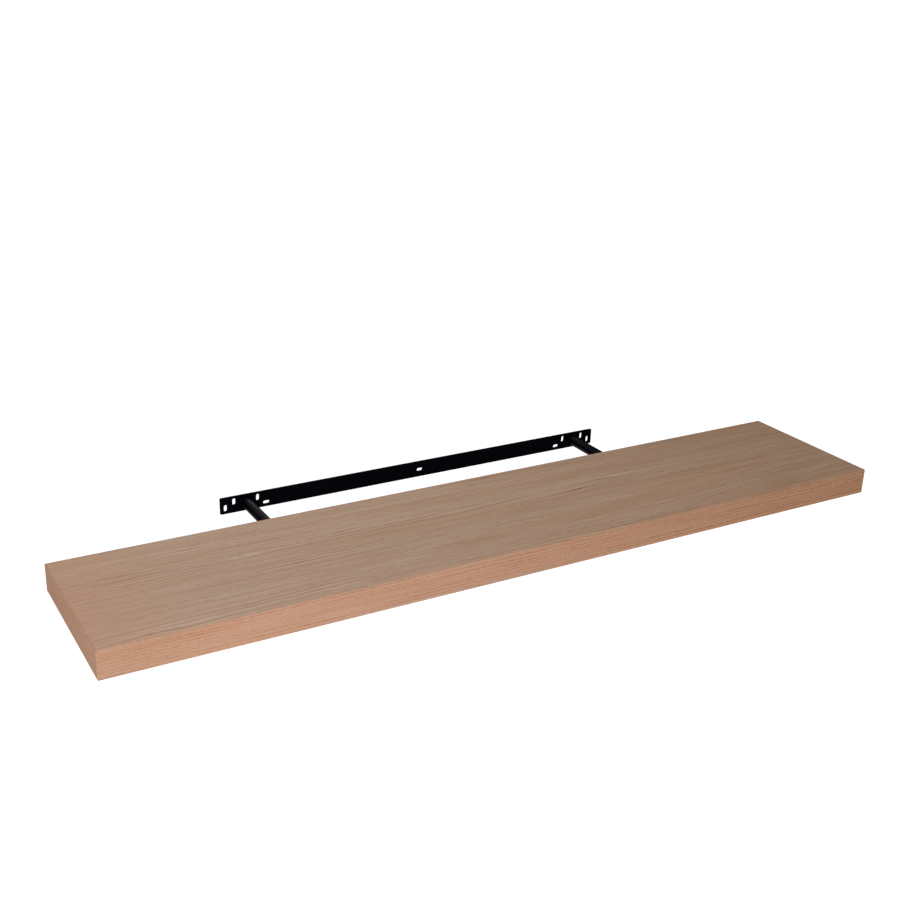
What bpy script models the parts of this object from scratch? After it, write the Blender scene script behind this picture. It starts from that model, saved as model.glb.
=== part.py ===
"""Hollow wall shelf that slides onto a hidden bracket: a slotted steel strip with two rods.

Metres, +Z up. The origin is on the wall, at the middle of the bracket's length and on the height of the
rods' axes. +X runs to the right along the shelf and +Y runs into the wall. The shelf is drawn pulled
out along the rods by pulled_out.
"""

import math

import bmesh
import bpy
from mathutils import Matrix, Vector

# The board, over its edge bands
board_length = 1.180
board_depth = 0.235
board_thickness = 0.038
skin_thickness = 0.003
band_thickness = 0.001
rail_width = 0.020
guide_block_width = 0.050

# The cardboard honeycomb in the bays
cell_width = 0.038
cell_wall = 0.001

# The wall plate and its screw slots; the insets are taken from the plate's end
plate_length = 0.644
plate_height = 0.025
plate_thickness = 0.0025
plate_corner = 0.002
slot_width = 0.005
slot_length = 0.010
outer_low_slot_inset, outer_low_slot_height = 0.008, -0.0038
outer_high_slot_inset, outer_high_slot_height = 0.021, 0.0042
inner_high_slot_inset, inner_high_slot_height = 0.057, 0.0042
inner_low_slot_inset, inner_low_slot_height = 0.070, -0.0058
middle_slot_height = -0.001

# The rods, welded to the plate
rod_inset = 0.039
rod_diameter = 0.016
rod_wall = 0.0015
rod_chamfer = 0.0008
rod_tip_to_front = 0.055
weld_leg = 0.002

# Clearances
touch_gap = 0.0003
rod_clearance = 0.0004
bore_end_clearance = 0.006
groove_depth_clearance = 0.0005
groove_side_clearance = 0.001
weld_clearance = 0.0005
cutter_overshoot = 0.002

# How far the board's back stands off the wall, as drawn
pulled_out = 0.107

round_segments = 40
slot_segments = 24
corner_segments = 4
smooth_angle = math.radians(40)

# Worked out from the sizes above
rod_reach = board_depth - rod_tip_to_front
rod_x = plate_length / 2 - rod_inset
bore_depth = rod_reach + bore_end_clearance
bore_radius = rod_diameter / 2 + rod_clearance
groove_depth = plate_thickness + groove_depth_clearance
inner_x = board_length / 2 - band_thickness - touch_gap
inner_back = -(band_thickness + touch_gap)
inner_front = -(board_depth - band_thickness - touch_gap)
core_half_height = board_thickness / 2 - skin_thickness - touch_gap
bay_back = inner_back - rail_width - touch_gap
bay_front = inner_front + rail_width + touch_gap
bay_end = inner_x - rail_width - touch_gap

colours = {
    "black_steel": ((0.012, 0.012, 0.013), 0.42, 0.3),
    "weld_steel": ((0.014, 0.014, 0.015), 0.5, 0.3),
    "oak_decor": ((0.396, 0.275, 0.199), 0.55, 0.0),
    "oak_band": ((0.533, 0.296, 0.191), 0.5, 0.0),
    "chipboard": ((0.50, 0.36, 0.22), 0.85, 0.0),
    "guide_wood": ((0.60, 0.44, 0.27), 0.75, 0.0),
    "cardboard": ((0.45, 0.33, 0.21), 0.9, 0.0),
}


def clear_scene():
    for old in list(bpy.data.objects):
        bpy.data.objects.remove(old, do_unlink=True)


def make_collection(name):
    collection = bpy.data.collections.new(name)
    bpy.context.scene.collection.children.link(collection)
    return collection


def make_material(node, finish):
    """Each piece has a material of its own, in the finish that it is made of."""
    colour, roughness, metallic = colours[finish]
    material = bpy.data.materials.new(f"{node}_{finish}")
    material.use_nodes = True
    shader = material.node_tree.nodes["Principled BSDF"]
    shader.inputs["Base Color"].default_value = (*colour, 1)
    shader.inputs["Roughness"].default_value = roughness
    shader.inputs["Metallic"].default_value = metallic
    return material


def place(bm, name, at, parent=None, finish=None):
    """Turns a bmesh into a named object: a piece if it has a finish, otherwise a cutter."""
    mesh = bpy.data.meshes.new(name)
    bm.to_mesh(mesh)
    bm.free()
    piece = bpy.data.objects.new(name, mesh)
    piece.location = at
    piece.parent = parent
    if finish:
        parts.objects.link(piece)
        mesh.materials.append(make_material(name, finish))
    else:
        cutters.objects.link(piece)
        piece.hide_render = True
        piece.display_type = "WIRE"
    return piece


def shade_smooth(piece):
    piece.data.shade_smooth()
    piece.data.set_sharp_from_angle(angle=smooth_angle)


def cut(piece, cutter):
    modifier = piece.modifiers.new(cutter.name, "BOOLEAN")
    modifier.operation = "DIFFERENCE"
    modifier.solver = "EXACT"
    modifier.object = cutter


def block(name, low, high, parent=None, finish=None):
    """A box between two corners, with its origin at its middle."""
    low, high = Vector(low), Vector(high)
    bm = bmesh.new()
    bmesh.ops.create_cube(bm, size=1)
    bmesh.ops.scale(bm, vec=high - low, verts=bm.verts)
    return place(bm, name, (low + high) / 2, parent, finish)


def across_board(half_height, *spans):
    """The low and high corners of a box that is centred on the board's thickness."""
    (x_low, x_high), (y_low, y_high) = spans
    return (x_low, y_low, -half_height), (x_high, y_high, half_height)


def round_cutter(name, mouth_radius, end_radius, length, at, parent):
    """A cylinder or cone along Y, whose mouth is at the given point and whose other end is towards -Y."""
    bm = bmesh.new()
    bmesh.ops.create_cone(
        bm,
        cap_ends=True,
        segments=round_segments,
        radius1=mouth_radius,
        radius2=end_radius,
        depth=length,
    )
    bmesh.ops.rotate(bm, matrix=Matrix.Rotation(math.radians(90), 3, "X"), verts=bm.verts)
    bmesh.ops.translate(bm, vec=(0, -length / 2, 0), verts=bm.verts)
    return place(bm, name, at, parent)


def slot_cutter(name, x, z, upright):
    """A round-ended slot right through the plate: a cylinder along Y, pulled apart into two halves."""
    bm = bmesh.new()
    depth = plate_thickness + 2 * cutter_overshoot
    bmesh.ops.create_cone(
        bm,
        cap_ends=True,
        segments=slot_segments,
        radius1=slot_width / 2,
        radius2=slot_width / 2,
        depth=depth,
    )
    half_turn_off = math.pi / slot_segments
    bmesh.ops.rotate(bm, matrix=Matrix.Rotation(half_turn_off, 3, "Z"), verts=bm.verts)
    half_straight = (slot_length - slot_width) / 2
    for vertex in bm.verts:
        vertex.co.x += math.copysign(half_straight, vertex.co.x)
    if upright:
        bmesh.ops.rotate(bm, matrix=Matrix.Rotation(math.radians(90), 3, "Z"), verts=bm.verts)
    bmesh.ops.rotate(bm, matrix=Matrix.Rotation(math.radians(90), 3, "X"), verts=bm.verts)
    return place(bm, name, (x, -plate_thickness / 2, z))


def turned(name, profile, at, finish):
    """A ring or tube turned about the axis that leaves the wall (-Y).

    profile holds (distance from the wall, radius) pairs and closes on itself: out along the inner
    side and back along the outer side.
    """
    bm = bmesh.new()
    ring = [bm.verts.new((radius, 0, along)) for along, radius in profile]
    for start, end in zip(ring, ring[1:] + ring[:1]):
        bm.edges.new((start, end))
    piece = place(bm, name, at, finish=finish)
    piece.rotation_euler.x = math.radians(90)
    spin = piece.modifiers.new("turn", "SCREW")
    spin.axis = "Z"
    spin.steps = spin.render_steps = round_segments
    spin.use_merge_vertices = True
    spin.merge_threshold = 0.00001
    spin.use_smooth_shade = True
    return piece


def make_wall_plate():
    half_length, half_height = plate_length / 2, plate_height / 2
    plate = block(
        "wall_plate",
        (-half_length, -plate_thickness, -half_height),
        (half_length, 0, half_height),
        finish="black_steel",
    )
    bm = bmesh.new()
    bm.from_mesh(plate.data)
    corners = [e for e in bm.edges if abs(e.verts[0].co.y - e.verts[1].co.y) > plate_thickness / 2]
    bmesh.ops.bevel(
        bm, geom=corners, offset=plate_corner, segments=corner_segments, profile=0.5, affect="EDGES"
    )
    bm.to_mesh(plate.data)
    bm.free()

    slots = [
        ("outer_low", outer_low_slot_inset, outer_low_slot_height, True),
        ("outer_high", outer_high_slot_inset, outer_high_slot_height, True),
        ("inner_high", inner_high_slot_inset, inner_high_slot_height, True),
        ("inner_low", inner_low_slot_inset, inner_low_slot_height, False),
    ]
    for side, label in ((-1, "left"), (1, "right")):
        for slot, inset, height, upright in slots:
            x = side * (half_length - inset)
            cut(plate, slot_cutter(f"{label}_{slot}_slot_cutter", x, height, upright))
    cut(plate, slot_cutter("middle_slot_cutter", 0, middle_slot_height, False))


def make_rod(label, side):
    outer = rod_diameter / 2
    inner = outer - rod_wall
    root = plate_thickness + touch_gap
    tube = [
        (root, inner),
        (rod_reach, inner),
        (rod_reach, outer - rod_chamfer),
        (rod_reach - rod_chamfer, outer),
        (root, outer),
    ]
    turned(f"{label}_rod", tube, (side * rod_x, 0, 0), "black_steel")

    bead_inner = outer + touch_gap
    bead = [
        (root, bead_inner),
        (root + weld_leg, bead_inner),
        (root + weld_leg * 0.45, bead_inner + weld_leg * 0.45),
        (root, bead_inner + weld_leg),
    ]
    turned(f"{label}_weld", bead, (side * rod_x, 0, 0), "weld_steel")


def make_skins(shelf):
    outside = board_thickness / 2
    inside = outside - skin_thickness
    for name, low_z, high_z in (("top_skin", inside, outside), ("bottom_skin", -outside, -inside)):
        low = (-inner_x, inner_front, low_z)
        block(name, low, (inner_x, inner_back, high_z), shelf, "oak_decor")


def make_rails(shelf, back_cutters):
    full = (-inner_x, inner_x)
    between = (bay_front, bay_back)
    spans = {
        "front_rail": (full, (inner_front, inner_front + rail_width)),
        "back_rail": (full, (inner_back - rail_width, inner_back)),
        "left_end_rail": ((-inner_x, -inner_x + rail_width), between),
        "right_end_rail": ((inner_x - rail_width, inner_x), between),
    }
    for name, span in spans.items():
        rail = block(name, *across_board(core_half_height, *span), shelf, "chipboard")
        if name == "back_rail":
            for cutter in back_cutters:
                cut(rail, cutter)
            shade_smooth(rail)


def make_guide_block(label, side, shelf, bore):
    middle = side * rod_x
    span = (middle - guide_block_width / 2, middle + guide_block_width / 2)
    corners = across_board(core_half_height, span, (bay_front, bay_back))
    guide = block(f"{label}_guide_block", *corners, shelf, "guide_wood")
    cut(guide, bore)
    shade_smooth(guide)


def make_honeycomb(name, left, right, shelf):
    """Cardboard cells, stretched to fit the bay exactly, with the outer rows cut through their middle."""
    columns = max(1, round((right - left) / cell_width))
    step_x = (right - left) / columns
    rows = max(1, round((bay_back - bay_front) / (cell_width * math.sqrt(3) / 2)))
    step_y = (bay_back - bay_front) / rows
    core = block(
        name, *across_board(core_half_height, (left, right), (bay_front, bay_back)), shelf, "cardboard"
    )

    bm = bmesh.new()
    depth = 2 * (core_half_height + cutter_overshoot)
    # a six-sided cone has a corner towards +Y; it is stretched to the cell's width and depth
    hexagon_x = (step_x - cell_wall) / math.sqrt(3)
    hexagon_y = step_y * 2 / 3 - cell_wall / math.sqrt(3)
    for row in range(rows + 1):
        odd = row % 2
        for column in range(columns + 1 - odd):
            cell = bmesh.ops.create_cone(
                bm, cap_ends=True, segments=6, radius1=1, radius2=1, depth=depth
            )["verts"]
            bmesh.ops.scale(bm, vec=(hexagon_x, hexagon_y, 1), verts=cell)
            x = left + (column + odd / 2) * step_x
            y = bay_front + row * step_y
            bmesh.ops.translate(bm, vec=(x, y, 0), verts=cell)
    cut(core, place(bm, f"{name}_cells", (0, 0, 0), shelf))


def make_bands(shelf, groove):
    half_length, half_height = board_length / 2, board_thickness / 2
    between = (inner_front, inner_back)
    spans = {
        "front_edge_band": ((-half_length, half_length), (-board_depth, -board_depth + band_thickness)),
        "back_edge_band": ((-half_length, half_length), (-band_thickness, 0)),
        "left_edge_band": ((-half_length, -half_length + band_thickness), between),
        "right_edge_band": ((half_length - band_thickness, half_length), between),
    }
    for name, span in spans.items():
        band = block(name, *across_board(half_height, *span), shelf, "oak_band")
        if name == "back_edge_band":
            cut(band, groove)


def bore_cutters(label, side, shelf):
    """The rod's bore, and the 45 degree countersink at its mouth that clears the weld bead."""
    bore = round_cutter(
        f"{label}_bore_cutter", bore_radius, bore_radius, bore_depth, (side * rod_x, 0, 0), shelf
    )
    mouth = plate_thickness + touch_gap
    weld_radius = rod_diameter / 2 + touch_gap + weld_leg
    mouth_radius = weld_radius + weld_clearance
    tip_radius = bore_radius / 2
    relief = round_cutter(
        f"{label}_weld_relief_cutter",
        mouth_radius,
        tip_radius,
        mouth_radius - tip_radius,
        (side * rod_x, -mouth, 0),
        shelf,
    )
    return bore, relief


def make_shelf():
    shelf = bpy.data.objects.new("shelf_on_rods", None)
    parts.objects.link(shelf)
    shelf.location = (0, -pulled_out, 0)

    groove_x = plate_length / 2 + groove_side_clearance
    groove_z = plate_height / 2 + groove_side_clearance / 2
    groove = block(
        "plate_groove_cutter",
        (-groove_x, -groove_depth, -groove_z),
        (groove_x, cutter_overshoot, groove_z),
        shelf,
    )
    left_bore, left_relief = bore_cutters("left", -1, shelf)
    right_bore, right_relief = bore_cutters("right", 1, shelf)

    make_skins(shelf)
    make_rails(shelf, (groove, left_bore, left_relief, right_bore, right_relief))
    make_guide_block("left", -1, shelf, left_bore)
    make_guide_block("right", 1, shelf, right_bore)
    block_outer = rod_x + guide_block_width / 2 + touch_gap
    block_inner = rod_x - guide_block_width / 2 - touch_gap
    make_honeycomb("left_honeycomb", -bay_end, -block_outer, shelf)
    make_honeycomb("middle_honeycomb", -block_inner, block_inner, shelf)
    make_honeycomb("right_honeycomb", block_outer, bay_end, shelf)
    make_bands(shelf, groove)


clear_scene()
parts = make_collection("wall_shelf")
cutters = make_collection("cutters")
make_wall_plate()
make_rod("left", -1)
make_rod("right", 1)
make_shelf()
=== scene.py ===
# Wall shelf on its hidden bracket: finished pieces, materials, light and camera on the CAD frame.
import math

import bmesh
import bpy
from mathutils import Matrix, Vector


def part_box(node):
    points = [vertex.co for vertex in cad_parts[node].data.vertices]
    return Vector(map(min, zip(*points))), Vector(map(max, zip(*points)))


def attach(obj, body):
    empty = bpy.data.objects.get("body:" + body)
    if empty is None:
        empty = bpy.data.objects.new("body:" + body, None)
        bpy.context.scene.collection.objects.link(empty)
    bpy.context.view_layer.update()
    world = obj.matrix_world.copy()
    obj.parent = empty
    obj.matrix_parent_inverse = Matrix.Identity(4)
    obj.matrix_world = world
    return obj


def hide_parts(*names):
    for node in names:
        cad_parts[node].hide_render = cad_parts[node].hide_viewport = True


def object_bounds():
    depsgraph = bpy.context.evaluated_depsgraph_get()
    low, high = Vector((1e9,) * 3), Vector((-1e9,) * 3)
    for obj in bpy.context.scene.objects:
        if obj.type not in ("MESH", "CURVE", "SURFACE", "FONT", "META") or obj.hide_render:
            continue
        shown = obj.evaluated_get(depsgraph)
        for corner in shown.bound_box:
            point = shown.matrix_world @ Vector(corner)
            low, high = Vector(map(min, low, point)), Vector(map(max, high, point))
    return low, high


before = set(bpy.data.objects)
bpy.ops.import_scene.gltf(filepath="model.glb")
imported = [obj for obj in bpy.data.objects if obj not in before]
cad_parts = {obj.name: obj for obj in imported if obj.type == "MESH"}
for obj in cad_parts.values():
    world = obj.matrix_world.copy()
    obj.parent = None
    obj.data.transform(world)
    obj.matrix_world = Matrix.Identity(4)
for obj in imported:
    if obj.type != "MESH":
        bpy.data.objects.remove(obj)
cadLow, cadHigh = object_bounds()
print("frame loaded:", len(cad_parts), "nodes")


def paint(red, green, blue):
    # an 8-bit screen colour as the linear colour that a shader wants
    def linear(level):
        share = level / 255
        return share / 12.92 if share <= 0.04045 else ((share + 0.055) / 1.055) ** 2.4

    return linear(red), linear(green), linear(blue), 1.0


class Wire:
    # one output socket of a node tree; arithmetic on it adds Math nodes
    def __init__(self, graph, socket):
        self.graph, self.socket = graph, socket

    def __add__(self, other):
        return self.graph.math("ADD", self, other)

    def __radd__(self, other):
        return self.graph.math("ADD", other, self)

    def __sub__(self, other):
        return self.graph.math("SUBTRACT", self, other)

    def __rsub__(self, other):
        return self.graph.math("SUBTRACT", other, self)

    def __mul__(self, other):
        return self.graph.math("MULTIPLY", self, other)

    def __rmul__(self, other):
        return self.graph.math("MULTIPLY", other, self)


class Graph:
    # a node tree; every node in it comes from the call below
    def __init__(self, tree):
        self.tree = tree

    def node(self, kind, settings=None, inputs=None, output=0):
        made = self.tree.nodes.new(kind)
        for key, value in (settings or {}).items():
            if key == "stops":
                self.setStops(made.color_ramp, value)
            else:
                setattr(made, key, value)
        for key, value in (inputs or {}).items():
            self.feed(made.inputs[key], value)
        return None if output is None else Wire(self, made.outputs[output])

    def feed(self, socket, value):
        # a list of wires all go into the one socket
        for one in value if isinstance(value, list) else [value]:
            if isinstance(one, Wire):
                self.tree.links.new(one.socket, socket)
            else:
                socket.default_value = one

    def setStops(self, ramp, stops):
        while len(ramp.elements) < len(stops):
            ramp.elements.new(0.5)  # its place is set below
        for element, (position, colour) in zip(ramp.elements, stops):
            element.position = position
            element.color = (colour,) * 3 + (1,) if isinstance(colour, (int, float)) else colour

    def math(self, operation, first, second=0.0, clamp=False):
        settings = {"operation": operation, "use_clamp": clamp}
        return self.node("ShaderNodeMath", settings, {0: first, 1: second})


noiseMiddle = 0.5  # noise lies between 0 and 1, about this


class Finish(Graph):
    # a material and the calls that shape its look
    def __init__(self, name, constants):
        self.material = bpy.data.materials.new(name)
        self.material.use_nodes = True
        super().__init__(self.material.node_tree)
        self.shader = self.tree.nodes["Principled BSDF"]
        for socket, value in constants.items():
            self.shader.inputs[socket].default_value = value
        self.place = self.node("ShaderNodeTexCoord", output="Object")

    def clamped(self, value):
        return self.math("ADD", value, 0.0, clamp=True)

    def between(self, value, span):
        # 0 at the first end of the span, 1 at the other, smooth between them
        inputs = {"Value": value, "From Min": span[0], "From Max": span[1]}
        return self.node("ShaderNodeMapRange", {"interpolation_type": "SMOOTHSTEP"}, inputs)

    def ramp(self, value, stops):
        return self.node("ShaderNodeValToRGB", {"stops": stops}, {"Fac": value}, "Color")

    def axis(self, letter):
        return self.node("ShaderNodeSeparateXYZ", inputs={"Vector": self.place}, output=letter)

    def cloud(self, at, detail, rough):
        inputs = {"Vector": at, "Scale": 1.0, "Detail": detail, "Roughness": rough}
        return self.node("ShaderNodeTexNoise", inputs=inputs, output="Fac")

    def noise(self, stretch, detail, rough):
        # stretch is the number of features in a metre: one number, or one for each axis
        scale = stretch if isinstance(stretch, tuple) else (stretch,) * 3
        at = self.node("ShaderNodeMapping", inputs={"Vector": self.place, "Scale": scale})
        return self.cloud(at, detail, rough)

    def layer(self, layers, name, seed, along, across):
        # a named layer of grain noise; its place in the list gives it a seed of its own
        lengthwise, crosswise, detail, rough = layers[name]
        number = list(layers).index(name)
        at = {"X": along * lengthwise, "Y": across * crosswise, "Z": seed + number}
        return self.cloud(self.node("ShaderNodeCombineXYZ", inputs=at), detail, rough)

    def mix(self, factor, first, second, blend="MIX"):
        settings = {"data_type": "RGBA", "blend_type": blend}
        return self.node("ShaderNodeMix", settings, {0: factor, 6: first, 7: second}, 2)

    def bump(self, height, relief, under=None):
        # relief is the bump's distance in metres and its strength
        inputs = {"Height": height, "Distance": relief[0], "Strength": relief[1]}
        if under is not None:
            inputs["Normal"] = under
        return self.node("ShaderNodeBump", inputs=inputs, output="Normal")

    def wear(self, colour, roughness, normal):
        self.feed(self.shader.inputs["Base Color"], colour)
        self.feed(self.shader.inputs["Roughness"], roughness)
        self.feed(self.shader.inputs["Normal"], normal)
        return self.material


oakTop = {
    "light": paint(191, 167, 149),
    "middle": paint(176, 147, 125),
    "dark": paint(150, 112, 85),
    "blush": paint(183, 139, 113),
    "pore": paint(122, 92, 72),
    "paintedWarmLight": (1.0, 0.972, 0.9, 1.0),  # painted warm light: a warmer tint towards the right end
    "paintedWarmLightReach": (-0.45, 0.6),
    "leftReach": (-0.44, -0.6),  # where the blush covers the left end
    "specular": 0.1,
    "roughness": 0.56,
    "ringsPerMetre": 150.0,
    "ringWander": 4.6,
    "ringShape": [(0.0, 0.5), (0.08, 1.0), (0.24, 0.34), (0.6, 0.08), (0.93, 0.0), (1.0, 0.5)],
    "ringShows": (0.47, 0.7),
    "blushShows": (0.44, 0.68),
    "tickShows": (0.57, 0.68),
    "poreRelief": (0.00005, 0.7),
    "toneRelief": (0.00003, 0.5),
    # how much each layer counts: wander and ripple in metres sideways, the rest in shares of tone
    "weights": {
        "wander": 0.034,
        "ripple": 0.012,
        "base": 0.4,
        "ringMiddle": 0.25,
        "faintRing": 0.08,
        "boldRing": 0.95,
        "zone": 0.42,
        "streak": 0.8,
        "thread": 1.0,
        "fleck": 0.62,
        "knot": 0.3,
        "middleAt": 0.42,
        "blush": 0.28,
        "leftBlush": 0.5,
        "tick": 0.2,
        "tickOnRing": 0.8,
        "pore": 0.45,
        "roughness": 0.1,
    },
    # features in a metre along and across the grain, then the noise's detail and roughness
    "layers": {
        "wander": (1.5, 9.0, 2.0, 0.5),
        "ripple": (9.0, 42.0, 2.0, 0.5),
        "drift": (1.2, 15.0, 2.0, 0.5),
        "shown": (2.6, 32.0, 2.0, 0.6),
        "zone": (1.1, 24.0, 2.0, 0.55),
        "streak": (3.4, 150.0, 3.0, 0.62),
        "thread": (8.0, 400.0, 2.0, 0.6),
        "fleck": (90.0, 420.0, 2.0, 0.7),
        "blush": (2.2, 30.0, 3.0, 0.5),
        "tick": (75.0, 1700.0, 1.0, 0.5),
    },
    # grain swirls: place, reach along and across the grain, and how far they spread it
    "swirls": {
        "top": [
            (-0.357, -0.197, 0.045, 0.012, 0.75),
            (-0.083, -0.287, 0.050, 0.014, 0.85),
            (0.115, -0.289, 0.055, 0.010, 0.75),
            (0.250, -0.194, 0.040, 0.013, 0.85),
            (0.467, -0.287, 0.045, 0.011, 0.80),
            (-0.520, -0.192, 0.060, 0.009, 0.70),
        ],
        "under": [
            (-0.300, -0.270, 0.055, 0.013, 0.80),
            (0.210, -0.170, 0.045, 0.012, 0.85),
            (0.430, -0.255, 0.060, 0.011, 0.75),
        ],
    },
    "swirlFade": 0.3679,  # what is left of a swirl at its reach
}


def spreadGrain(wood, along, across, side):
    # pushes the grain lines aside round each swirl on one side of the board
    bent = across
    knot = None
    for x, y, reachX, reachY, pull in oakTop["swirls"][side]:
        offX = (along - x) * (1 / reachX)
        offY = (across - y) * (1 / reachY)
        near = wood.math("POWER", oakTop["swirlFade"], offX * offX + offY * offY)
        bent = bent - (across - y) * near * pull
        knot = near if knot is None else knot + near
    return bent, knot


def makeOakTop(name, seed, side):
    # plain-sawn oak decor with the grain along X
    look, weight, layers = oakTop, oakTop["weights"], oakTop["layers"]
    oak = Finish(name, {"Specular IOR Level": look["specular"]})
    x, y = oak.axis("X"), oak.axis("Y")
    wander = oak.layer(layers, "wander", seed, x, y) - noiseMiddle
    ripple = oak.layer(layers, "ripple", seed, x, y) - noiseMiddle
    strayed = y + weight["wander"] * wander + weight["ripple"] * ripple
    across, knot = spreadGrain(oak, x, strayed, side)

    def layer(layerName):
        return oak.layer(layers, layerName, seed, x, across)

    turn = across * look["ringsPerMetre"] + layer("drift") * look["ringWander"]
    line = oak.ramp(oak.math("FRACT", turn), look["ringShape"])
    shown = oak.between(layer("shown"), look["ringShows"])
    zone = layer("zone") - noiseMiddle
    streak = layer("streak") - noiseMiddle
    thread = layer("thread") - noiseMiddle
    fleck = layer("fleck") - noiseMiddle
    ringDepth = weight["faintRing"] + weight["boldRing"] * shown
    tone = weight["base"] + (line - weight["ringMiddle"]) * ringDepth + zone * weight["zone"]
    tone = tone + streak * weight["streak"] + thread * weight["thread"]
    tone = oak.clamped(tone + fleck * weight["fleck"] + weight["knot"] * knot * line)
    stops = [(0.0, look["light"]), (weight["middleAt"], look["middle"]), (1.0, look["dark"])]
    colour = oak.ramp(tone, stops)
    blush = oak.between(layer("blush"), look["blushShows"])
    colour = oak.mix(weight["blush"] * blush, colour, look["blush"])
    leftEndBlushAndPaintedShade = weight["leftBlush"] * oak.between(x, look["leftReach"])
    colour = oak.mix(leftEndBlushAndPaintedShade, colour, look["blush"])
    # painted warm light: the top grows warmer towards its right end
    colour = oak.mix(oak.between(x, look["paintedWarmLightReach"]), colour, look["paintedWarmLight"], "MULTIPLY")

    tick = oak.between(layer("tick"), look["tickShows"])
    pore = tick * (weight["tick"] + weight["tickOnRing"] * line)
    colour = oak.mix(weight["pore"] * pore, colour, look["pore"])
    roughness = look["roughness"] + weight["roughness"] * pore + weight["roughness"] * streak
    normal = oak.bump(1.0 - tone, look["toneRelief"])
    return oak.wear(colour, roughness, oak.bump(1.0 - pore, look["poreRelief"], normal))


oakBand = {
    "light": paint(201, 162, 138),
    "middle": paint(190, 145, 118),
    "dark": paint(169, 118, 87),
    "pore": paint(157, 100, 66),
    "glue": paint(142, 114, 95),
    "paintedWarmLight": (1.0, 0.945, 0.83, 1.0),  # painted warm light: a warmer tint towards the right end
    "paintedWarmLightReach": (-0.2, 0.62),
    "leftEndBlushAndPaintedShade": {"X": (0.93, 0.94, 0.93, 1.0), "Y": (0.992, 0.977, 0.95, 1.0)},  # painted shade at the left end: darker on the long bands, a slight painted tint on the left band; by grain axis
    "leftReach": (-0.42, -0.58),
    "arris": (0.0184, 0.0188),  # heights between which the rounded arris starts
    "specular": 0.12,
    "roughness": 0.54,
    "rowsPerMetre": 235.0,
    "rowWander": 2.6,
    "rowShape": [(0.0, 0.45), (0.12, 1.0), (0.32, 0.3), (0.6, 0.0), (0.92, 0.0), (1.0, 0.45)],
    "rowShows": (0.36, 0.62),
    "dashShows": (0.42, 0.58),
    "depthReach": (-0.6, 0.6),  # the rows grow bolder along the band
    "poreRelief": (0.00006, 0.8),
    "toneRelief": (0.00003, 0.4),
    # sway and quiver are metres sideways, the rest are shares of tone
    "weights": {
        "sway": 0.006,
        "quiver": 0.001,
        "leastDepth": 0.72,
        "moreDepth": 0.5,
        "base": 0.42,
        "rowMiddle": 0.25,
        "row": 0.46,
        "zone": 0.5,
        "streak": 0.72,
        "fleck": 1.1,
        "middleAt": 0.5,
        "pore": 0.75,
        "poreRoughness": 0.1,
        "streakRoughness": 0.08,
    },
    "layers": {
        "sway": (3.0, 30.0, 2.0, 0.5),
        "quiver": (24.0, 90.0, 2.0, 0.5),
        "drift": (1.6, 40.0, 2.0, 0.5),
        "shown": (5.0, 110.0, 2.0, 0.6),
        "dash": (130.0, 420.0, 2.0, 0.6),
        "zone": (4.0, 45.0, 3.0, 0.5),
        "streak": (9.0, 260.0, 3.0, 0.65),
        "fleck": (230.0, 620.0, 2.0, 0.7),
    },
}


def makeOakBand(name, along, seed, rowDepth, rubbed):
    # edge band with thin dashed rows of pores that follow the edge; along is the grain's axis
    look, weight, layers = oakBand, oakBand["weights"], oakBand["layers"]
    band = Finish(name, {"Specular IOR Level": look["specular"]})
    x, height = band.axis(along), band.axis("Z")
    sway = band.layer(layers, "sway", seed, x, height) - noiseMiddle
    quiver = band.layer(layers, "quiver", seed, x, height) - noiseMiddle
    z = height + weight["sway"] * sway + weight["quiver"] * quiver

    def layer(layerName):
        return band.layer(layers, layerName, seed, x, z)

    turn = z * look["rowsPerMetre"] + layer("drift") * look["rowWander"]
    line = band.ramp(band.math("FRACT", turn), look["rowShape"])
    shown = band.between(layer("shown"), look["rowShows"])
    dash = band.between(layer("dash"), look["dashShows"])
    bolder = weight["leastDepth"] + weight["moreDepth"] * band.between(x, look["depthReach"])
    depth = rowDepth * bolder
    zone = layer("zone") - noiseMiddle
    streak = layer("streak") - noiseMiddle
    fleck = layer("fleck") - noiseMiddle
    tone = weight["base"] + (line - weight["rowMiddle"]) * shown * weight["row"] * depth
    tone = tone + zone * weight["zone"] + streak * weight["streak"] + fleck * weight["fleck"]
    tone = band.clamped(tone)
    stops = [(0.0, look["light"]), (weight["middleAt"], look["middle"]), (1.0, look["dark"])]
    colour = band.ramp(tone, stops)
    pore = line * shown * dash
    colour = band.mix(weight["pore"] * depth * pore, colour, look["pore"])
    side = band.axis("X")
    # painted warm light: the band grows warmer towards the right end
    colour = band.mix(band.between(side, look["paintedWarmLightReach"]), colour, look["paintedWarmLight"], "MULTIPLY")
    # painted shade: the band darkens towards its left end
    leftEndBlushAndPaintedShade = band.between(side, look["leftReach"])
    colour = band.mix(leftEndBlushAndPaintedShade, colour, look["leftEndBlushAndPaintedShade"][along], "MULTIPLY")
    rim = band.between(band.math("ABSOLUTE", height), look["arris"])
    colour = band.mix(rubbed * rim, colour, look["glue"])
    roughness = look["roughness"] + weight["poreRoughness"] * pore
    roughness = roughness + weight["streakRoughness"] * streak
    normal = band.bump(1.0 - tone, look["toneRelief"])
    return band.wear(colour, roughness, band.bump(1.0 - pore, look["poreRelief"], normal))


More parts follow.
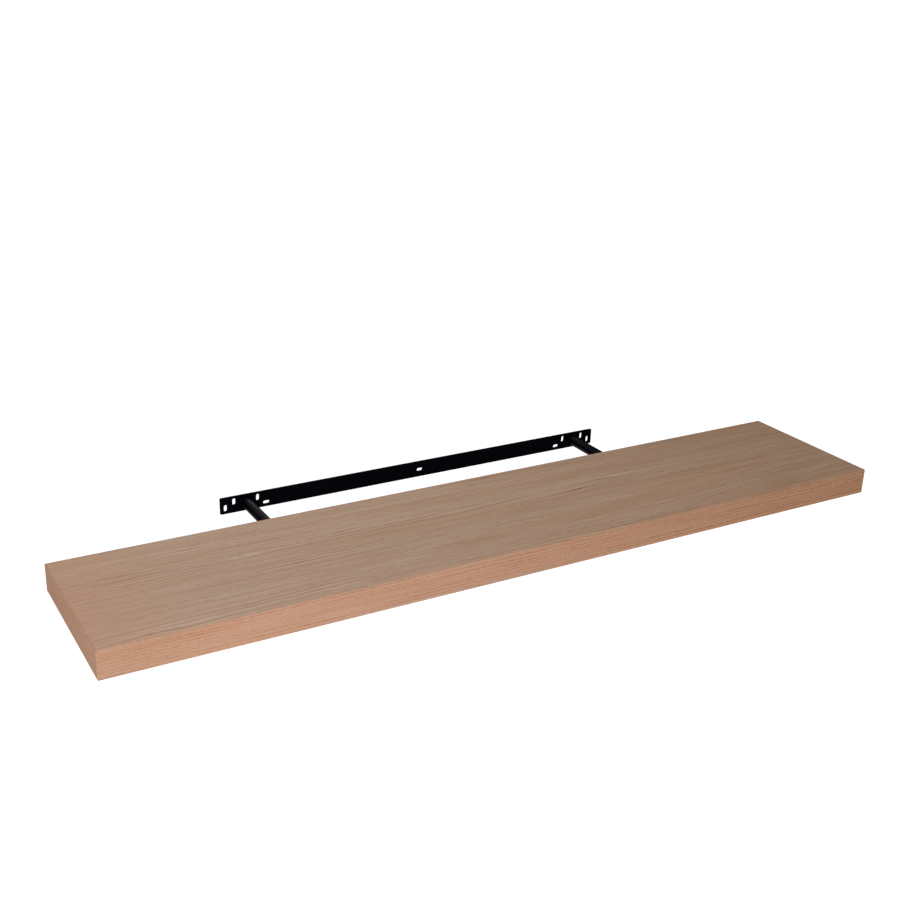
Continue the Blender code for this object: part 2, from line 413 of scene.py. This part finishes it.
# each pattern: features in a metre, the noise's detail and its roughness
blackCoat = {
    "colour": paint(2, 2, 6),
    "dustColour": paint(9, 9, 15),
    "sheen": (1.0, 0.88, 0.98, 1.0),
    "roughness": 0.33,
    "wornRoughness": 0.1,
    "peel": (850.0, 2.0, 0.5),
    "peelRelief": (0.00003, 0.6),
    "swell": (110.0, 2.0, 0.5),
    "swellRelief": (0.00005, 0.5),
    "rub": {"X": ((8.0, 700.0, 700.0), 3.0, 0.6), "Y": ((700.0, 8.0, 700.0), 3.0, 0.6)},
    "rubShows": (0.52, 0.75),
    "rubDepth": 0.35,
    "dust": (2200.0, 1.0, 0.5),
    "dustShows": (0.66, 0.8),
    "dustDepth": 0.4,
}


def makeBlackCoat(name, along, gloss):
    # satin powder coat over steel: orange peel, a little dust and faint rubbing along the part
    look = blackCoat
    coat = Finish(name, {"Specular IOR Level": gloss, "Specular Tint": look["sheen"]})
    peel = coat.noise(*look["peel"])
    swell = coat.noise(*look["swell"])
    rub = coat.between(coat.noise(*look["rub"][along]), look["rubShows"])
    dust = coat.between(coat.noise(*look["dust"]), look["dustShows"])
    pale = look["rubDepth"] * rub + look["dustDepth"] * dust
    colour = coat.mix(pale, look["colour"], look["dustColour"])
    worn = look["wornRoughness"]
    roughness = look["roughness"] + worn * (swell - noiseMiddle) + worn * rub
    normal = coat.bump(swell, look["swellRelief"], coat.bump(peel, look["peelRelief"]))
    return coat.wear(colour, roughness, normal)


weldCoat = {
    "specular": 0.04,
    "roughness": 0.4,
    "scaleRoughness": 0.15,
    "scale": (1500.0, 3.0, 0.6),
    "relief": (0.00006, 0.8),
    "spots": (600.0, 2.0, 0.5),
    "spotsShow": (0.55, 0.7),
    "spotDepth": 0.4,
}


def makeWeldCoat(name):
    # the same powder coat over the rough skin of a weld
    look = weldCoat
    bead = Finish(name, {"Specular IOR Level": look["specular"]})
    scale = bead.noise(*look["scale"])
    spots = bead.between(bead.noise(*look["spots"]), look["spotsShow"])
    colour = bead.mix(look["spotDepth"] * spots, blackCoat["colour"], blackCoat["dustColour"])
    roughness = look["roughness"] + look["scaleRoughness"] * scale
    return bead.wear(colour, roughness, bead.bump(scale, look["relief"]))


chipboard = {
    "chips": [
        paint(205, 172, 128),
        paint(184, 146, 100),
        paint(222, 195, 155),
        paint(150, 112, 72),
    ],
    "glue": paint(118, 86, 56),
    "specular": 0.2,
    "roughness": 0.8,
    "fibreRoughness": 0.15,
    "chipsPerMetre": 420.0,
    "chipStretch": (0.45, 1.0, 1.0),
    "gapWidth": (0.02, 0.16),
    "gapDepth": 0.55,
    "fibre": ((260.0, 1900.0, 1900.0), 3.0, 0.7),
    "fibreDepth": 0.25,
    "fibreMiddle": 0.3,
    "chipHeight": 0.5,
    "fibreHeight": 0.3,
    "relief": (0.0003, 0.8),
}


def makeChipboard(name):
    # pressed wood chips, seen where the groove and the bores are milled
    look = chipboard
    board = Finish(name, {"Specular IOR Level": look["specular"]})
    inputs = {"Vector": board.place, "Scale": look["chipStretch"]}
    at = board.node("ShaderNodeMapping", inputs=inputs)
    cell = {"Vector": at, "Scale": look["chipsPerMetre"], "Randomness": 1.0}
    chip = board.node("ShaderNodeTexVoronoi", inputs=cell, output="Color")
    toEdge = {"feature": "DISTANCE_TO_EDGE"}
    edge = board.node("ShaderNodeTexVoronoi", toEdge, cell, "Distance")
    pick = board.node("ShaderNodeSeparateColor", inputs={"Color": chip}, output="Red")
    last = len(look["chips"]) - 1
    stops = [(index / last, shade) for index, shade in enumerate(look["chips"])]
    colour = board.ramp(pick, stops)
    fibre = board.noise(*look["fibre"])
    gap = 1.0 - board.between(edge, look["gapWidth"])
    dark = look["gapDepth"] * gap + look["fibreDepth"] * (fibre - look["fibreMiddle"])
    colour = board.mix(dark, colour, look["glue"])
    height = pick * look["chipHeight"] + fibre * look["fibreHeight"] - gap
    roughness = look["roughness"] + look["fibreRoughness"] * (fibre - noiseMiddle)
    return board.wear(colour, roughness, board.bump(height, look["relief"]))


softwood = {
    "pale": paint(226, 196, 150),
    "late": paint(190, 142, 92),
    "specular": 0.25,
    "roughness": 0.62,
    "fibreRoughness": 0.12,
    "ringsPerMetre": 260.0,
    "drift": ((26.0, 3.0, 26.0), 2.0, 0.5),
    "ringWander": 3.0,
    "ringShape": [(0.0, 0.1), (0.7, 0.45), (0.92, 1.0), (1.0, 0.1)],
    "ringDepth": 0.8,
    "ringRelief": 0.3,
    "fibre": ((1600.0, 30.0, 1600.0), 3.0, 0.7),
    "fibreDepth": 0.5,
    "relief": (0.0001, 0.6),
}


def makeSoftwood(name):
    # pine with its growth rings on edge and the grain along Y
    look = softwood
    pine = Finish(name, {"Specular IOR Level": look["specular"]})
    drift = pine.noise(*look["drift"])
    turn = pine.axis("X") * look["ringsPerMetre"] + drift * look["ringWander"]
    ring = pine.ramp(pine.math("FRACT", turn), look["ringShape"])
    fibre = pine.noise(*look["fibre"])
    tone = pine.clamped(ring * look["ringDepth"] + (fibre - noiseMiddle) * look["fibreDepth"])
    colour = pine.mix(tone, look["pale"], look["late"])
    roughness = look["roughness"] + look["fibreRoughness"] * (fibre - noiseMiddle)
    normal = pine.bump(fibre - look["ringRelief"] * ring, look["relief"])
    return pine.wear(colour, roughness, normal)


kraft = {
    "light": paint(196, 160, 116),
    "dark": paint(158, 120, 80),
    "specular": 0.15,
    "roughness": 0.88,
    "pulpRoughness": 0.1,
    "pulp": ((900.0, 900.0, 380.0), 4.0, 0.7),
    "pulpDepth": 0.8,
    "flute": ((60.0, 60.0, 700.0), 1.0, 0.5),
    "fluteDepth": 0.4,
    "relief": (0.0001, 0.5),
}


def makeKraft(name):
    # brown honeycomb paper: mottled pulp and faint flutes
    look = kraft
    paper = Finish(name, {"Specular IOR Level": look["specular"]})
    pulp = paper.noise(*look["pulp"])
    flute = paper.noise(*look["flute"])
    tone = paper.clamped(pulp * look["pulpDepth"] + look["fluteDepth"] * (flute - noiseMiddle))
    colour = paper.mix(tone, look["light"], look["dark"])
    roughness = look["roughness"] + look["pulpRoughness"] * (pulp - noiseMiddle)
    return paper.wear(colour, roughness, paper.bump(pulp, look["relief"]))


# the oak finishes take a seed; a band also takes the depth of its rows and how rubbed its arris is,
# and a black coat its gloss
finishes = {
    "oakTop": makeOakTop("oakTop", 3.0, "top"),
    "oakUnder": makeOakTop("oakUnder", 43.0, "under"),
    "oakFront": makeOakBand("oakFront", "X", 5.0, 1.0, 0.25),
    "oakBack": makeOakBand("oakBack", "X", 25.0, 1.0, 0.6),
    "oakLeft": makeOakBand("oakLeft", "Y", 45.0, 0.58, 0.35),
    "oakRight": makeOakBand("oakRight", "Y", 65.0, 0.58, 0.35),
    "plateCoat": makeBlackCoat("plateCoat", "X", 0.03),
    "rodCoat": makeBlackCoat("rodCoat", "Y", 0.07),
    "weldCoat": makeWeldCoat("weldCoat"),
    "chipboard": makeChipboard("chipboard"),
    "softwood": makeSoftwood("softwood"),
    "kraft": makeKraft("kraft"),
}
print("finishes made:", len(finishes))


class Grower(Graph):
    # a Geometry Nodes tree with a named input for each of its sizes and one for its finish
    def __init__(self, name, sizes):
        super().__init__(bpy.data.node_groups.new(name, "GeometryNodeTree"))
        sockets = self.tree.interface
        sockets.new_socket("Geometry", in_out="INPUT", socket_type="NodeSocketGeometry")
        for label in sizes:
            sockets.new_socket(label, in_out="INPUT", socket_type="NodeSocketFloat")
        sockets.new_socket("Finish", in_out="INPUT", socket_type="NodeSocketMaterial")
        sockets.new_socket("Geometry", in_out="OUTPUT", socket_type="NodeSocketGeometry")

    def given(self, label):
        return self.node("NodeGroupInput", output=label)

    def upright(self, geometry):
        # turns what was drawn flat to face the front
        inputs = {"Geometry": geometry, "Rotation": (math.radians(90), 0, 0)}
        return self.node("GeometryNodeTransform", inputs=inputs)

    def end(self, geometry):
        real = self.node("GeometryNodeRealizeInstances", inputs={"Geometry": geometry})
        inputs = {"Geometry": real, "Material": self.given("Finish")}
        dressed = self.node("GeometryNodeSetMaterial", inputs=inputs)
        self.node("NodeGroupOutput", inputs={"Geometry": dressed}, output=None)
        return self.tree


def growPiece(name, points, tree, values):
    # runs a tree on a handful of points and keeps the plain mesh that comes out
    seed = bpy.data.meshes.new(name + "Seed")
    seed.from_pydata([place for place, turn in points], [], [])
    turns = seed.attributes.new("turn", "FLOAT", "POINT")
    turns.data.foreach_set("value", [turn for place, turn in points])
    host = bpy.data.objects.new(name, seed)
    bpy.context.scene.collection.objects.link(host)
    grow = host.modifiers.new("grow", "NODES")
    grow.node_group = tree
    sockets = {s.name: s.identifier for s in tree.interface.items_tree if s.in_out == "INPUT"}
    for label, value in values.items():
        grow[sockets[label]] = value
    bpy.context.view_layer.update()
    host.update_tag()
    graph = bpy.context.evaluated_depsgraph_get()
    made = bpy.data.meshes.new_from_object(host.evaluated_get(graph))
    host.modifiers.remove(grow)
    host.data = made
    bpy.data.meshes.remove(seed)
    return host


sheet = {"cornerSteps": 8, "holeSteps": 12, "mergeDistance": 0.000005}


def makePiercedSheetTree():
    # a flat sheet facing -Y with rounded corners and a round-ended hole at each point
    sizes = ["Length", "Height", "Thickness", "Corner", "Hole Length", "Hole Width", "Hole Corner"]
    grower = Grower("piercedSheet", sizes)

    def rounded(width, height, radius, count):
        inputs = {"Width": grower.given(width), "Height": grower.given(height)}
        square = grower.node("GeometryNodeCurvePrimitiveQuadrilateral", inputs=inputs)
        inputs = {"Curve": square, "Radius": grower.given(radius), "Count": count}
        inputs["Limit Radius"] = True
        return grower.node("GeometryNodeFilletCurve", {"mode": "POLY"}, inputs)

    outline = rounded("Length", "Height", "Corner", sheet["cornerSteps"])
    hole = rounded("Hole Length", "Hole Width", "Hole Corner", sheet["holeSteps"])
    named = {"data_type": "FLOAT"}
    turn = grower.node("GeometryNodeInputNamedAttribute", named, {"Name": "turn"})
    spin = grower.node("ShaderNodeCombineXYZ", inputs={"Z": turn})
    inputs = {"Points": grower.given("Geometry"), "Instance": hole, "Rotation": spin}
    holes = grower.node("GeometryNodeInstanceOnPoints", inputs=inputs)
    holes = grower.node("GeometryNodeRealizeInstances", inputs={"Geometry": holes})
    curves = grower.node("GeometryNodeJoinGeometry", inputs={"Geometry": [outline, holes]})
    face = grower.node("GeometryNodeFillCurve", {"mode": "NGONS"}, {"Curve": curves})
    inputs = {"Mesh": face, "Offset Scale": grower.given("Thickness"), "Individual": False}
    wall = grower.node("GeometryNodeExtrudeMesh", {"mode": "FACES"}, inputs)
    rear = grower.node("GeometryNodeFlipFaces", inputs={"Mesh": face})
    whole = grower.node("GeometryNodeJoinGeometry", inputs={"Geometry": [wall, rear]})
    inputs = {"Geometry": whole, "Distance": sheet["mergeDistance"]}
    whole = grower.node("GeometryNodeMergeByDistance", inputs=inputs)
    return grower.end(grower.upright(whole))


# how finely a bead is drawn, how far its ripples lean, and the roughness over them
beadRing = {"around": 168, "across": 14, "lean": 120.0, "roughPerMetre": 260.0, "roughDetail": 2.0}


def makeWeldBeadTree():
    # a ring of overlapping weld ripples about the Y axis
    grower = Grower("weldBead", ["Radius", "Bead", "Ripples", "Ripple Height", "Seed"])
    inputs = {"Resolution": beadRing["around"], "Radius": grower.given("Radius")}
    path = grower.node("GeometryNodeCurvePrimitiveCircle", inputs=inputs)
    inputs = {"Resolution": beadRing["across"], "Radius": grower.given("Bead")}
    profile = grower.node("GeometryNodeCurvePrimitiveCircle", inputs=inputs)
    inputs = {"Curve": path, "Profile Curve": profile}
    ring = grower.upright(grower.node("GeometryNodeCurveToMesh", inputs=inputs))
    place = grower.node("GeometryNodeInputPosition")

    def axis(letter):
        return grower.node("ShaderNodeSeparateXYZ", inputs={"Vector": place}, output=letter)

    # an angle is counted in turns, and a step runs from 0 to 1 over each ripple
    angle = grower.math("DIVIDE", grower.math("ARCTAN2", axis("Z"), axis("X")), 2 * math.pi)
    phase = (angle + 0.5) * grower.given("Ripples")
    step = grower.math("FRACT", phase + axis("Y") * beadRing["lean"])
    hump = grower.math("SINE", step * math.pi)
    inputs = {"Vector": place, "W": grower.given("Seed")}
    inputs.update({"Scale": beadRing["roughPerMetre"], "Detail": beadRing["roughDetail"]})
    rough = grower.node("ShaderNodeTexNoise", {"noise_dimensions": "4D"}, inputs, "Fac")
    lift = (hump + rough) * grower.given("Ripple Height")
    inputs = {"Vector": grower.node("GeometryNodeInputNormal"), "Scale": lift}
    push = grower.node("ShaderNodeVectorMath", {"operation": "SCALE"}, inputs)
    ring = grower.node("GeometryNodeSetPosition", inputs={"Geometry": ring, "Offset": push})
    ring = grower.node("GeometryNodeSetShadeSmooth", inputs={"Geometry": ring})
    return grower.end(ring)


def settle(piece, offset):
    # moves the mesh, so that the object stays at the origin
    piece.data.transform(Matrix.Translation(Vector(offset)))
    return piece


def easeEdges(piece, width, segments=3, angle=30):
    bevel = piece.modifiers.new("easedEdges", "BEVEL")
    bevel.width = width
    bevel.segments = segments
    bevel.limit_method = "ANGLE"
    bevel.angle_limit = math.radians(angle)
    bevel.use_clamp_overlap = True
    piece.data.shade_smooth()
    piece.data.set_sharp_from_angle(angle=math.radians(angle))
    bevel.harden_normals = True
    return piece


def bakeModifiers(piece):
    # turns the piece with its modifiers into a plain mesh
    bpy.context.view_layer.update()
    graph = bpy.context.evaluated_depsgraph_get()
    made = bpy.data.meshes.new_from_object(piece.evaluated_get(graph))
    piece.modifiers.clear()
    piece.data = made
    return piece


def newPiece(name, mesh, finish):
    # puts a finished mesh into the scene as one object
    mesh.materials.append(finishes[finish])
    piece = bpy.data.objects.new(name, mesh)
    bpy.context.scene.collection.objects.link(piece)
    return piece


def slab(name, low, high, finish, ease):
    # a board or strip between two corners, with eased edges
    low, high = Vector(low), Vector(high)
    shape = bmesh.new()
    bmesh.ops.create_cube(shape, size=1)
    bmesh.ops.scale(shape, vec=high - low, verts=shape.verts)
    bmesh.ops.translate(shape, vec=(low + high) / 2, verts=shape.verts)
    mesh = bpy.data.meshes.new(name)
    shape.to_mesh(mesh)
    shape.free()
    return bakeModifiers(easeEdges(newPiece(name, mesh, finish), ease))


def revolve(outline, middle, around):
    # points, no edges, and faces of an outline turned once about the Y axis through middle
    points, faces = [], []
    count = len(outline)
    for column in range(around):
        turn = 2 * math.pi * column / around
        across, up = math.cos(turn), -math.sin(turn)
        for radius, along in outline:
            points.append((middle.x + radius * across, along, middle.z + radius * up))
        here, there = column * count, (column + 1) % around * count
        for row in range(count):
            below = (row + 1) % count
            faces.append((here + row, there + row, there + below, here + below))
    return points, [], faces


def dress(piece, body, node):
    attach(piece, body)
    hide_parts(node)
    return piece


# each end's slots, from the strip's end inwards: distance in, height, and whether it stands upright
plate = {
    "corner": 0.002,
    "slotLength": 0.010,
    "slotWidth": 0.005,
    "slotRounding": 0.499,  # just short of half, so that a slot keeps a straight bit at its end
    "edgeEase": 0.00025,
    "easeSteps": 2,
    "endSlots": [
        (0.008, -0.0038, True),
        (0.021, 0.0042, True),
        (0.057, 0.0042, True),
        (0.070, -0.0058, False),
    ],
    "middleSlotHeight": -0.001,
}


def makePlate(tree):
    look = plate
    low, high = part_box("wall_plate")
    quarter = math.radians(90)
    points = [((0.0, look["middleSlotHeight"], 0.0), 0.0)]
    for side in (-1, 1):
        for inset, height, upright in look["endSlots"]:
            points.append(((side * (high.x - inset), height, 0.0), quarter if upright else 0.0))
    values = {
        "Length": high.x - low.x,
        "Height": high.z - low.z,
        "Thickness": high.y - low.y,
        "Corner": look["corner"],
        "Hole Length": look["slotLength"],
        "Hole Width": look["slotWidth"],
        "Hole Corner": look["slotWidth"] * look["slotRounding"],
        "Finish": finishes["plateCoat"],
    }
    piece = settle(growPiece("wallPlate", points, tree, values), (0, high.y, 0))
    bakeModifiers(easeEdges(piece, look["edgeEase"], look["easeSteps"]))
    dress(piece, "bracket", "wall_plate")


rod = {
    "around": 96,
    "wall": 0.0015,
    "lip": 0.0007,
    "lipSteps": 5,
    "intoPlate": 0.0004,
    "smoothAngle": 50,
}


def makeRod(label):
    # a drawn steel tube with a rolled lip at its free end
    look = rod
    node = label + "_rod"
    low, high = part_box(node)
    middle = (low + high) / 2
    outer = (high.x - low.x) / 2
    inner = outer - look["wall"]
    root, tip = high.y + look["intoPlate"], low.y
    outline = [(inner, root)]
    for step in range(look["lipSteps"] + 1):
        turn = math.pi * step / look["lipSteps"]
        ring = (outer + inner) / 2 - look["wall"] / 2 * math.cos(turn)
        outline.append((ring, tip + look["lip"] * (1 - math.sin(turn))))
    outline.append((outer, root))
    mesh = bpy.data.meshes.new(label + "Rod")
    mesh.from_pydata(*revolve(outline, middle, look["around"]))
    mesh.shade_smooth()
    mesh.set_sharp_from_angle(angle=math.radians(look["smoothAngle"]))
    piece = newPiece(label + "Rod", mesh, "rodCoat")
    dress(piece, "bracket", node)


# shares of the weld's leg: how far the bead's middle is off the rod and the plate, and its radius
weld = {"offRod": 0.25, "offPlate": 0.12, "bead": 0.36, "ripples": 21.0, "rippleHeight": 0.00009}


def makeWeld(label, seed, tree):
    look = weld
    node = label + "_weld"
    low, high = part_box(node)
    rodLow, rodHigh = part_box(label + "_rod")
    rodRadius = (rodHigh.x - rodLow.x) / 2
    leg = (high.x - low.x) / 2 - rodRadius
    values = {
        "Radius": rodRadius + leg * look["offRod"],
        "Bead": leg * look["bead"],
        "Ripples": look["ripples"],
        "Ripple Height": look["rippleHeight"],
        "Seed": float(seed),
        "Finish": finishes["weldCoat"],
    }
    piece = growPiece(label + "Weld", [((0, 0, 0), 0.0)], tree, values)
    settle(piece, ((low.x + high.x) / 2, high.y - leg * look["offPlate"], (low.z + high.z) / 2))
    dress(piece, "bracket", node)


sheetTree = makePiercedSheetTree()
beadTree = makeWeldBeadTree()
makePlate(sheetTree)
for number, label in enumerate(("left", "right")):
    makeRod(label)
    makeWeld(label, number + 1, beadTree)
print("bracket made")


glueLine = 0.00004  # the hair of room between a skin and a band, and between two bands
skin = {"ease": 0.0001}
edgeBand = {"ease": 0.0004}
backBand = {"corner": 0.0004, "ease": 0.00015, "easeSteps": 2, "grooveCorner": 0.0006}


def makeSkin(name, node, finish):
    # the skins run out to the bands, but for the glue line
    low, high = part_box(node)
    leftBand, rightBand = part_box("left_edge_band")[1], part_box("right_edge_band")[0]
    frontBand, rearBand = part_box("front_edge_band")[1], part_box("back_edge_band")[0]
    newLow = (leftBand.x + glueLine, frontBand.y + glueLine, low.z)
    newHigh = (rightBand.x - glueLine, rearBand.y - glueLine, high.z)
    dress(slab(name, newLow, newHigh, finish, skin["ease"]), "shelf", node)


def makeBand(name, node, finish):
    low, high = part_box(node)
    if node in ("left_edge_band", "right_edge_band"):
        # the end bands meet the long bands, but for the same glue line
        low.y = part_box("front_edge_band")[1].y + glueLine
        high.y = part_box("back_edge_band")[0].y - glueLine
    dress(slab(name, low, high, finish, edgeBand["ease"]), "shelf", node)


def grooveSize():
    # half the groove's length and height, read from the band's own window
    rim = 0.001  # what lies nearer the band's edge than this is its outline
    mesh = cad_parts["back_edge_band"].data
    low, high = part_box("back_edge_band")
    places = [vertex.co for vertex in mesh.vertices]
    window = [co for co in places if abs(co.x) < high.x - rim and abs(co.z) < high.z - rim]
    return max(co.x for co in window), max(co.z for co in window)


def makeBackBand(tree):
    # the long band at the back, with the window that the strip goes into
    look = backBand
    low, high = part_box("back_edge_band")
    grooveX, grooveZ = grooveSize()
    values = {
        "Length": high.x - low.x,
        "Height": high.z - low.z,
        "Thickness": high.y - low.y,
        "Corner": look["corner"],
        "Hole Length": 2 * grooveX,
        "Hole Width": 2 * grooveZ,
        "Hole Corner": look["grooveCorner"],
        "Finish": finishes["oakBack"],
    }
    piece = settle(growPiece("backBand", [((0, 0, 0), 0.0)], tree, values), (0, high.y, 0))
    bakeModifiers(easeEdges(piece, look["ease"], look["easeSteps"]))
    dress(piece, "shelf", "back_edge_band")


makeSkin("topSkin", "top_skin", "oakTop")
makeSkin("bottomSkin", "bottom_skin", "oakUnder")
makeBand("frontBand", "front_edge_band", "oakFront")
makeBand("leftBand", "left_edge_band", "oakLeft")
makeBand("rightBand", "right_edge_band", "oakRight")
makeBackBand(sheetTree)

# what the board holds inside keeps its CAD shape and takes a finish
inside = {
    "chipboard": ["front_rail", "back_rail", "left_end_rail", "right_end_rail"],
    "softwood": ["left_guide_block", "right_guide_block"],
    "kraft": ["left_honeycomb", "middle_honeycomb", "right_honeycomb"],
}
for finish, nodes in inside.items():
    for node in nodes:
        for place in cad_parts[node].material_slots:
            place.material = finishes[finish]
print("board made")


stage = {
    "floorDrop": 0.75,
    "floorSize": 80.0,
    "floorColour": paint(244, 244, 244),
    "floorRoughness": 0.9,
    "floorSpecular": 0.0,
    "ambient": 0.142,
    "white": (1.0, 1.0, 1.0, 1.0),
    "glow": 1.1,  # how bright the camera sees the floor and the sky
}


def makeFloor():
    # a pale floor that looks plain white from above
    look = stage
    spot = (0, 0, cadLow.z - look["floorDrop"])
    bpy.ops.mesh.primitive_plane_add(size=look["floorSize"], location=spot)
    floor = bpy.context.object
    floor.name = "floor"
    constants = {"Base Color": look["floorColour"], "Roughness": look["floorRoughness"]}
    constants["Specular IOR Level"] = look["floorSpecular"]
    pale = Finish("paleFloor", constants)
    glow = pale.node("ShaderNodeEmission", inputs={"Strength": look["glow"]})
    seen = pale.node("ShaderNodeLightPath", output="Is Camera Ray")
    lit = Wire(pale, pale.shader.outputs[0])
    shown = pale.node("ShaderNodeMixShader", inputs={0: seen, 1: lit, 2: glow})
    pale.feed(pale.tree.nodes["Material Output"].inputs["Surface"], shown)
    floor.data.materials.append(pale.material)


def makeSky():
    # plain white behind the object, and a softer level of the same light on it
    look = stage
    world = bpy.data.worlds.new("studio")
    bpy.context.scene.world = world
    world.use_nodes = True
    sky = Graph(world.node_tree)
    background = sky.tree.nodes["Background"]
    sky.feed(background.inputs["Color"], look["white"])
    sky.feed(background.inputs["Strength"], look["ambient"])
    light = Wire(sky, background.outputs[0])
    bright = {"Color": look["white"], "Strength": look["glow"]}
    backdrop = sky.node("ShaderNodeBackground", inputs=bright)
    seen = sky.node("ShaderNodeLightPath", output="Is Camera Ray")
    shown = sky.node("ShaderNodeMixShader", inputs={0: seen, 1: light, 2: backdrop})
    sky.feed(sky.tree.nodes["World Output"].inputs["Surface"], shown)


lights = {
    "key": {"at": (-1.5, -2.2, 0.8), "aim": (-0.2, -0.25, 0.0), "size": 0.9, "power": 48.4},
    "back": {"at": (-1.0, 0.7, 1.4), "aim": (-0.2, -0.22, 0.0), "size": 0.9, "power": 11.9},
    "top": {"at": (-0.2, -0.2, 1.9), "aim": (0.0, -0.2, 0.0), "size": 1.5, "power": 8.5},
    "sweep": {"at": (0.43, 1.99, 1.05), "aim": (-0.1, -0.05, 0.0), "size": 1.1, "power": 4.6},
}


def makeLights():
    for name, look in lights.items():
        data = bpy.data.lights.new(name, "AREA")
        data.shape = "SQUARE"
        data.size = look["size"]
        data.energy = look["power"]
        lamp = bpy.data.objects.new(name, data)
        lamp.location = look["at"]
        aim = Vector(look["aim"]) - lamp.location
        lamp.rotation_euler = aim.to_track_quat("-Z", "Y").to_euler()
        lamp.visible_camera = False
        bpy.context.scene.collection.objects.link(lamp)


# azimuth, elevation and roll in degrees, the lens in millimetres
shot = {
    "at": (-0.8654, -1.5648, 0.7493),
    "azimuth": -29.81,
    "elevation": 21.89,
    "roll": 1.54,
    "lens": 50.45,
    "shiftX": 0.0144,
}


def makeCamera():
    look = shot
    azimuth, elevation = math.radians(look["azimuth"]), math.radians(look["elevation"])
    flat = math.cos(elevation)
    ahead = Vector((-math.sin(azimuth) * flat, math.cos(azimuth) * flat, -math.sin(elevation)))
    facing = ahead.to_track_quat("-Z", "Y").to_matrix().to_4x4()
    level = Matrix.Rotation(math.radians(look["roll"]), 4, "Z")
    camera = bpy.data.objects.new("camera", bpy.data.cameras.new("camera"))
    camera.matrix_world = Matrix.Translation(look["at"]) @ facing @ level
    camera.data.lens = look["lens"]
    camera.data.shift_x = look["shiftX"]
    bpy.context.scene.collection.objects.link(camera)
    bpy.context.scene.camera = camera


makeFloor()
makeSky()
makeLights()
makeCamera()
bpy.context.scene.view_settings.view_transform = "Standard"
print("stage made")
